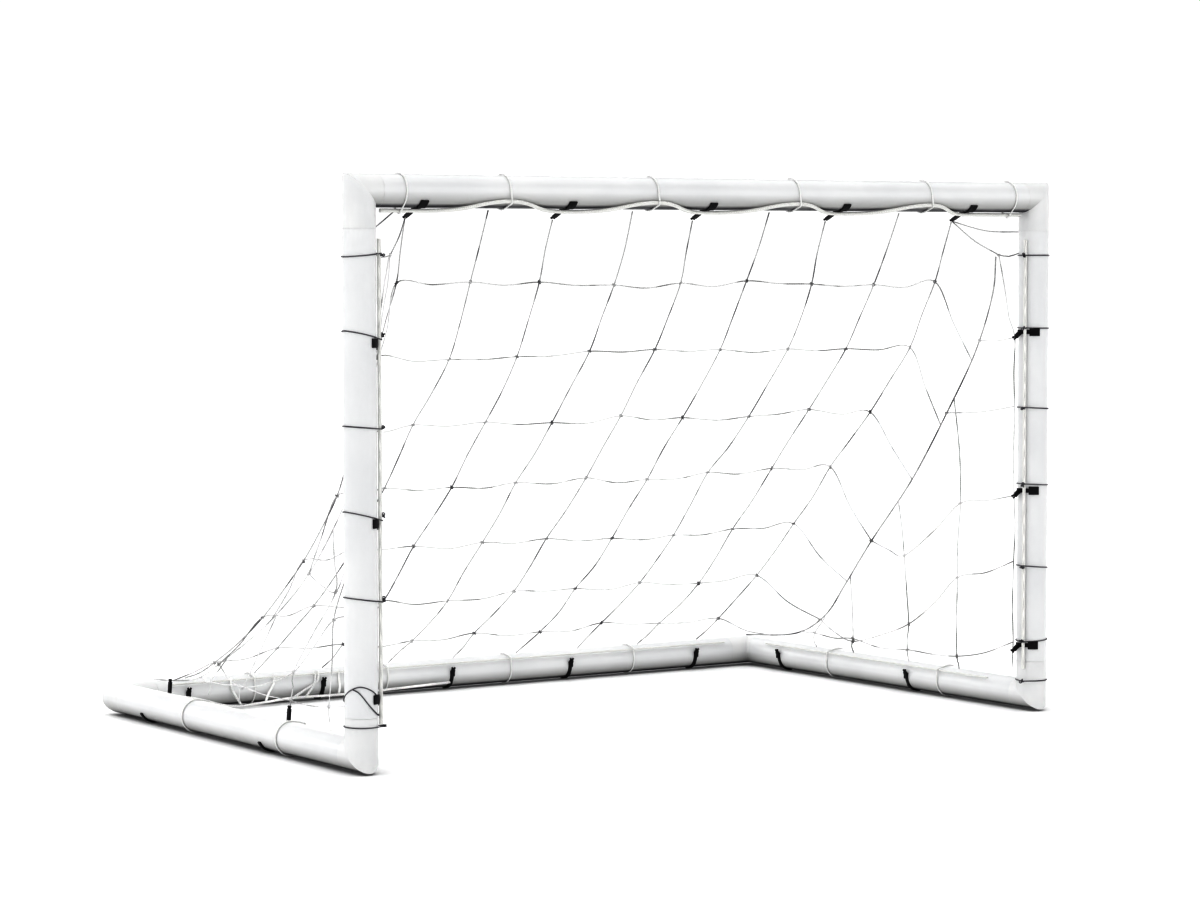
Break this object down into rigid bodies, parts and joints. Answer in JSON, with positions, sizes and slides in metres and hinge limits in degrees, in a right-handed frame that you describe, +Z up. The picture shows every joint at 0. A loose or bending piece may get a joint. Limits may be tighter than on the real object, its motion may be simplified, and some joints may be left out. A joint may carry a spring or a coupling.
{
  "type": "soccer goal frame",
  "caption": "Freestanding youth soccer goal: round white tube frame with mitred corner elbows, push-button locks, black net clips and a sloping square-mesh net.",
  "frame": {"origin": "middle of the footprint, on the ground", "axes": "+X across the goal to the right seen from in front of the mouth, +Y from the mouth to the back, +Z up"},
  "size_m": [1.8376, 1.1722, 1.2076],
  "materials": {
    "white_tube": "satin uPVC, near white",
    "white_elbow": "satin moulded uPVC, near white",
    "steel_button": "bright spring steel",
    "black_plastic": "matt black moulded nylon",
    "net_twine": "pale grey knotted polyethylene twine with dark flecks",
    "border_rope": "white braided rope",
    "lacing_cord": "white braided cord",
    "dark_cord": "dark laid cord"
  },
  "bodies": {
    "goal_frame": {"crossbar": "white_tube", "left_post": "white_tube", "right_post": "white_tube", "left_side_bar": "white_tube", "right_side_bar": "white_tube", "back_bar": "white_tube", "left_top_elbow": "white_elbow", "left_front_elbow": "white_elbow", "left_back_elbow": "white_elbow", "right_top_elbow": "white_elbow", "right_front_elbow": "white_elbow", "right_back_elbow": "white_elbow", "crossbar_clips": "black_plastic", "back_bar_clips": "black_plastic", "left_post_clips": "black_plastic", "left_side_bar_clips": "black_plastic", "right_post_clips": "black_plastic", "right_side_bar_clips": "black_plastic", "header_rope": "border_rope", "back_edge_cord": "border_rope", "left_post_edge_cord": "border_rope", "left_side_edge_cord": "border_rope", "right_post_edge_cord": "border_rope", "right_side_edge_cord": "border_rope", "crossbar_ties": "lacing_cord", "back_bar_ties": "lacing_cord", "left_post_ties": "dark_cord", "left_side_bar_ties": "lacing_cord", "right_post_ties": "dark_cord", "right_side_bar_ties": "lacing_cord", "net_back": "net_twine", "net_left": "net_twine", "net_right": "net_twine"},
    "left_top_lock_button": {"left_top_lock_button": "steel_button"},
    "left_front_lock_button": {"left_front_lock_button": "steel_button"},
    "left_back_lock_button": {"left_back_lock_button": "steel_button"},
    "right_top_lock_button": {"right_top_lock_button": "steel_button"},
    "right_front_lock_button": {"right_front_lock_button": "steel_button"},
    "right_back_lock_button": {"right_back_lock_button": "steel_button"}
  },
  "joints": [
    {"name": "left_top_lock_press", "type": "slide", "parent": "goal_frame", "child": "left_top_lock_button", "axis": [0, 1, 0], "range_m": [-0.0065, 0], "stiffness_N_per_m": 1500},
    {"name": "left_front_lock_press", "type": "slide", "parent": "goal_frame", "child": "left_front_lock_button", "axis": [0, 1, 0], "range_m": [-0.0065, 0], "stiffness_N_per_m": 1500},
    {"name": "left_back_lock_press", "type": "slide", "parent": "goal_frame", "child": "left_back_lock_button", "axis": [0, 1, 0], "range_m": [-0.0065, 0], "stiffness_N_per_m": 1500},
    {"name": "right_top_lock_press", "type": "slide", "parent": "goal_frame", "child": "right_top_lock_button", "axis": [0, 1, 0], "range_m": [-0.0065, 0], "stiffness_N_per_m": 1500},
    {"name": "right_front_lock_press", "type": "slide", "parent": "goal_frame", "child": "right_front_lock_button", "axis": [0, 1, 0], "range_m": [-0.0065, 0], "stiffness_N_per_m": 1500},
    {"name": "right_back_lock_press", "type": "slide", "parent": "goal_frame", "child": "right_back_lock_button", "axis": [0, 1, 0], "range_m": [-0.0065, 0], "stiffness_N_per_m": 1500}
  ]
}
